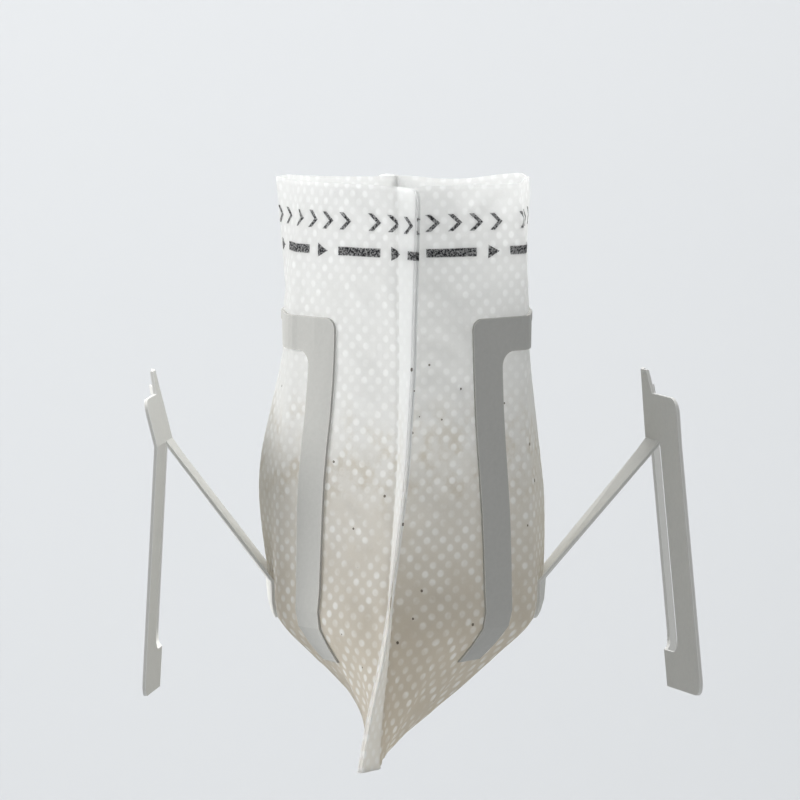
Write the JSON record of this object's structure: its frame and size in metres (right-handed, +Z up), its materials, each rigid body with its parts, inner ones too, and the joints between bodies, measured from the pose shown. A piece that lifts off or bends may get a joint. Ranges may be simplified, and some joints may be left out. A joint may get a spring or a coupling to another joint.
{
  "type": "empty tea filter bag",
  "caption": "Hanging ear filter bag, opened: pleat-free fibre pouch with welded side hems, card frames and fold-out card ears that hook over a cup's rim.",
  "frame": {"origin": "midway between the two rim seats of the ears, at the height of the cup's rim", "axes": "+X to the right ear, +Y away from the viewer along the foot fold, +Z up through the mouth"},
  "size_m": [0.0818, 0.07, 0.0838],
  "materials": {
    "filter_cloth": "white heat-bonded fibre cloth with small bond dots, matt and slightly translucent",
    "card": "uncoated light grey card, matt, with paler cut edges; stands in for paper board"
  },
  "bodies": {
    "root": {"filter_pouch": "filter_cloth", "left_card_frame": "card", "left_card_ear": "card", "right_card_frame": "card", "right_card_ear": "card"}
  },
  "joints": []
}
